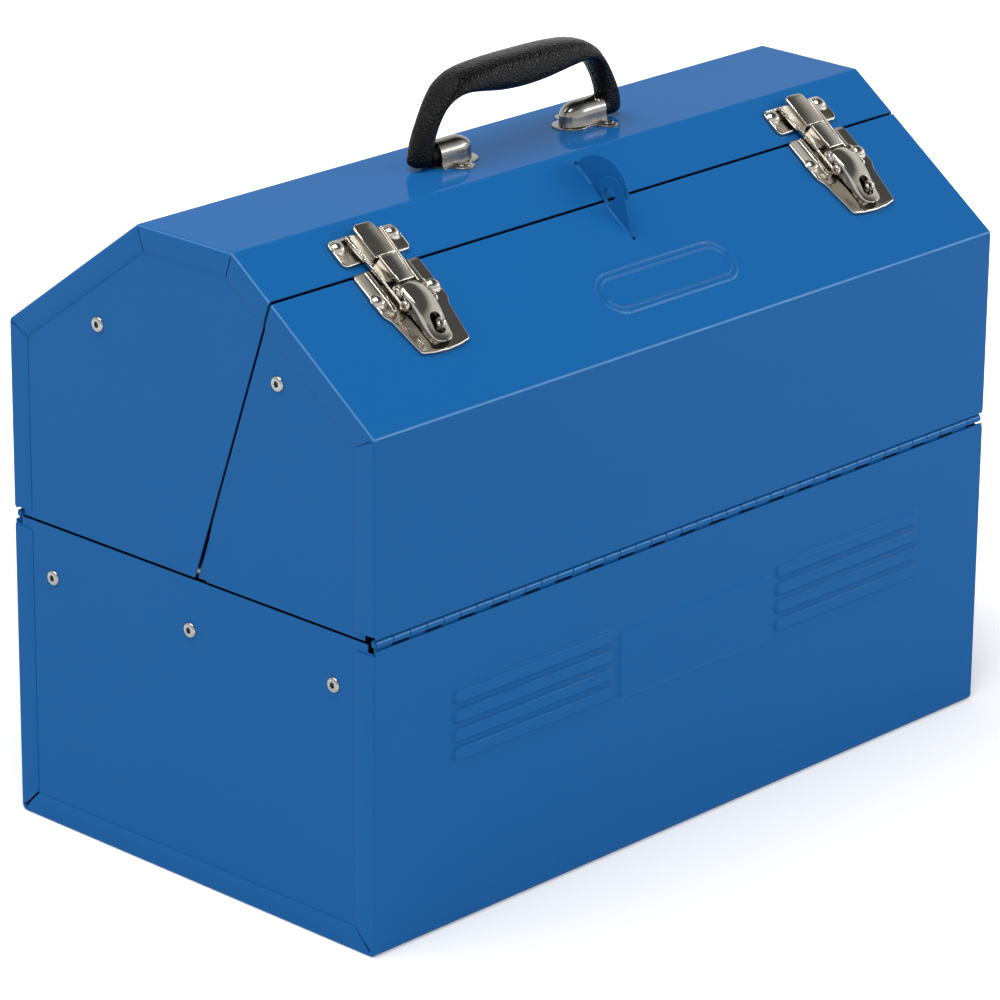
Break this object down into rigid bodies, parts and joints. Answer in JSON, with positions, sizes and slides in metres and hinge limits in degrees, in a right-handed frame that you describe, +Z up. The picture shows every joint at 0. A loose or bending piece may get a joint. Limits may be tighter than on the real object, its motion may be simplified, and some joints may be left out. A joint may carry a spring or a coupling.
{
  "type": "cantilever tool box",
  "caption": "Peaked steel tool box: twin lids on piano hinges swing apart and spread cantilever trays; over-centre latches, padlock tabs, folding grip.",
  "frame": {"origin": "under the middle of the bottom, on the surface the box stands on", "axes": "+X along the length to the right as seen from the front, front face towards -Y, +Z up"},
  "size_m": [0.4614, 0.2576, 0.385],
  "materials": {
    "blue_paint": "gloss",
    "nickel_plate": "bright nickel",
    "zinc_plate": "zinc plated",
    "grip_black": "textured"
  },
  "bodies": {
    "base": {"base_shell": "blue_paint", "base_end_left": "blue_paint", "base_end_right": "blue_paint", "base_end_rivets": "zinc_plate", "front_hinge_base_leaf": "blue_paint", "rear_hinge_base_leaf": "blue_paint", "front_hinge_pin": "blue_paint", "rear_hinge_pin": "blue_paint"},
    "front_lid": {"front_lid_shell": "blue_paint", "front_lid_end_left": "blue_paint", "front_lid_end_right": "blue_paint", "front_hinge_lid_leaf": "blue_paint", "front_lid_rivets": "zinc_plate", "front_hasp_tab": "blue_paint", "latch_base_left": "nickel_plate", "latch_base_right": "nickel_plate", "latch_base_rivets": "nickel_plate", "latch_staples": "nickel_plate", "latch_pivot_pins": "nickel_plate"},
    "rear_lid": {"rear_lid_shell": "blue_paint", "rear_lid_end_left": "blue_paint", "rear_lid_end_right": "blue_paint", "rear_hinge_lid_leaf": "blue_paint", "rear_lid_rivets": "zinc_plate", "rear_hasp_tab": "blue_paint", "strike_left": "nickel_plate", "strike_right": "nickel_plate", "strike_rivets": "nickel_plate", "handle_bracket_left": "nickel_plate", "handle_bracket_right": "nickel_plate", "handle_bracket_rivets": "nickel_plate"},
    "handle": {"handle": "grip_black"},
    "latch_lever_left": {"latch_lever_left": "nickel_plate", "claw_pin_left": "nickel_plate"},
    "latch_claw_left": {"latch_claw_left": "nickel_plate"},
    "latch_lever_right": {"latch_lever_right": "nickel_plate", "claw_pin_right": "nickel_plate"},
    "latch_claw_right": {"latch_claw_right": "nickel_plate"},
    "front_outer_arms": {"front_outer_arms": "zinc_plate"},
    "front_inner_arms": {"front_inner_arms": "zinc_plate"},
    "front_lower_tray": {"front_lower_tray": "blue_paint", "front_lower_tray_pins": "zinc_plate"},
    "front_upper_tray": {"front_upper_tray": "blue_paint", "front_upper_tray_pins": "zinc_plate"},
    "front_lid_links": {"front_lid_links": "zinc_plate"},
    "rear_outer_arms": {"rear_outer_arms": "zinc_plate"},
    "rear_inner_arms": {"rear_inner_arms": "zinc_plate"},
    "rear_lower_tray": {"rear_lower_tray": "blue_paint", "rear_lower_tray_pins": "zinc_plate"},
    "rear_upper_tray": {"rear_upper_tray": "blue_paint", "rear_upper_tray_pins": "zinc_plate"},
    "rear_lid_links": {"rear_lid_links": "zinc_plate"}
  },
  "joints": [
    {"name": "front_lid_hinge", "type": "hinge", "parent": "base", "child": "front_lid", "pos_m": [0, -0.1258, 0.1625], "axis": [1, 0, 0], "range_deg": [0, 90]},
    {"name": "rear_lid_hinge", "type": "hinge", "parent": "base", "child": "rear_lid", "pos_m": [0, 0.1258, 0.1625], "axis": [-1, 0, 0], "range_deg": [0, 90]},
    {"name": "handle_hinge", "type": "hinge", "parent": "rear_lid", "child": "handle", "pos_m": [0, 0, 0.342], "axis": [1, 0, 0], "range_deg": [-75, 75]},
    {"name": "latch_lever_left_hinge", "type": "hinge", "parent": "front_lid", "child": "latch_lever_left", "pos_m": [-0.154, -0.07654, 0.31112], "axis": [-1, 0, 0], "range_deg": [0, 120]},
    {"name": "latch_claw_left_hinge", "type": "hinge", "parent": "latch_lever_left", "child": "latch_claw_left", "pos_m": [-0.154, -0.08268, 0.30598], "axis": [-1, 0, 0], "range_deg": [-138, 0]},
    {"name": "latch_lever_right_hinge", "type": "hinge", "parent": "front_lid", "child": "latch_lever_right", "pos_m": [0.165, -0.07654, 0.31112], "axis": [-1, 0, 0], "range_deg": [0, 120]},
    {"name": "latch_claw_right_hinge", "type": "hinge", "parent": "latch_lever_right", "child": "latch_claw_right", "pos_m": [0.165, -0.08268, 0.30598], "axis": [-1, 0, 0], "range_deg": [-138, 0]},
    {"name": "front_outer_arms_pivot", "type": "hinge", "parent": "base", "child": "front_outer_arms", "pos_m": [0, -0.1, 0.135], "axis": [1, 0, 0], "range_deg": [0, 46]},
    {"name": "front_inner_arms_pivot", "type": "hinge", "parent": "base", "child": "front_inner_arms", "pos_m": [0, 0, 0.135], "axis": [1, 0, 0], "range_deg": [0, 46]},
    {"name": "front_lower_tray_pivot", "type": "hinge", "parent": "front_outer_arms", "child": "front_lower_tray", "pos_m": [0, -0.106, 0.199], "axis": [1, 0, 0], "range_deg": [-46, 0]},
    {"name": "front_upper_tray_pivot", "type": "hinge", "parent": "front_outer_arms", "child": "front_upper_tray", "pos_m": [0, -0.106, 0.251], "axis": [1, 0, 0], "range_deg": [-46, 0]},
    {"name": "front_lid_links_pivot", "type": "hinge", "parent": "front_lid", "child": "front_lid_links", "pos_m": [0, -0.063, 0.278], "axis": [1, 0, 0], "range_deg": [0, 46.5]},
    {"name": "rear_outer_arms_pivot", "type": "hinge", "parent": "base", "child": "rear_outer_arms", "pos_m": [0, 0.1, 0.135], "axis": [-1, 0, 0], "range_deg": [0, 46]},
    {"name": "rear_inner_arms_pivot", "type": "hinge", "parent": "base", "child": "rear_inner_arms", "pos_m": [0, 0, 0.135], "axis": [-1, 0, 0], "range_deg": [0, 46]},
    {"name": "rear_lower_tray_pivot", "type": "hinge", "parent": "rear_outer_arms", "child": "rear_lower_tray", "pos_m": [0, 0.106, 0.199], "axis": [-1, 0, 0], "range_deg": [-46, 0]},
    {"name": "rear_upper_tray_pivot", "type": "hinge", "parent": "rear_outer_arms", "child": "rear_upper_tray", "pos_m": [0, 0.106, 0.251], "axis": [-1, 0, 0], "range_deg": [-46, 0]},
    {"name": "rear_lid_links_pivot", "type": "hinge", "parent": "rear_lid", "child": "rear_lid_links", "pos_m": [0, 0.063, 0.278], "axis": [-1, 0, 0], "range_deg": [0, 46.5]}
  ],
  "couplings": [
    {"joint": "latch_claw_left_hinge", "follows": "latch_lever_left_hinge", "ratio": -1.15},
    {"joint": "latch_claw_right_hinge", "follows": "latch_lever_right_hinge", "ratio": -1.15},
    {"joint": "front_outer_arms_pivot", "follows": "front_lid_hinge", "ratio": 0.5111},
    {"joint": "front_inner_arms_pivot", "follows": "front_lid_hinge", "ratio": 0.5111},
    {"joint": "front_lower_tray_pivot", "follows": "front_lid_hinge", "ratio": -0.5111},
    {"joint": "front_upper_tray_pivot", "follows": "front_lid_hinge", "ratio": -0.5111},
    {"joint": "front_lid_links_pivot", "follows": "front_lid_hinge", "ratio": 0.5156},
    {"joint": "rear_outer_arms_pivot", "follows": "rear_lid_hinge", "ratio": 0.5111},
    {"joint": "rear_inner_arms_pivot", "follows": "rear_lid_hinge", "ratio": 0.5111},
    {"joint": "rear_lower_tray_pivot", "follows": "rear_lid_hinge", "ratio": -0.5111},
    {"joint": "rear_upper_tray_pivot", "follows": "rear_lid_hinge", "ratio": -0.5111},
    {"joint": "rear_lid_links_pivot", "follows": "rear_lid_hinge", "ratio": 0.5156}
  ]
}
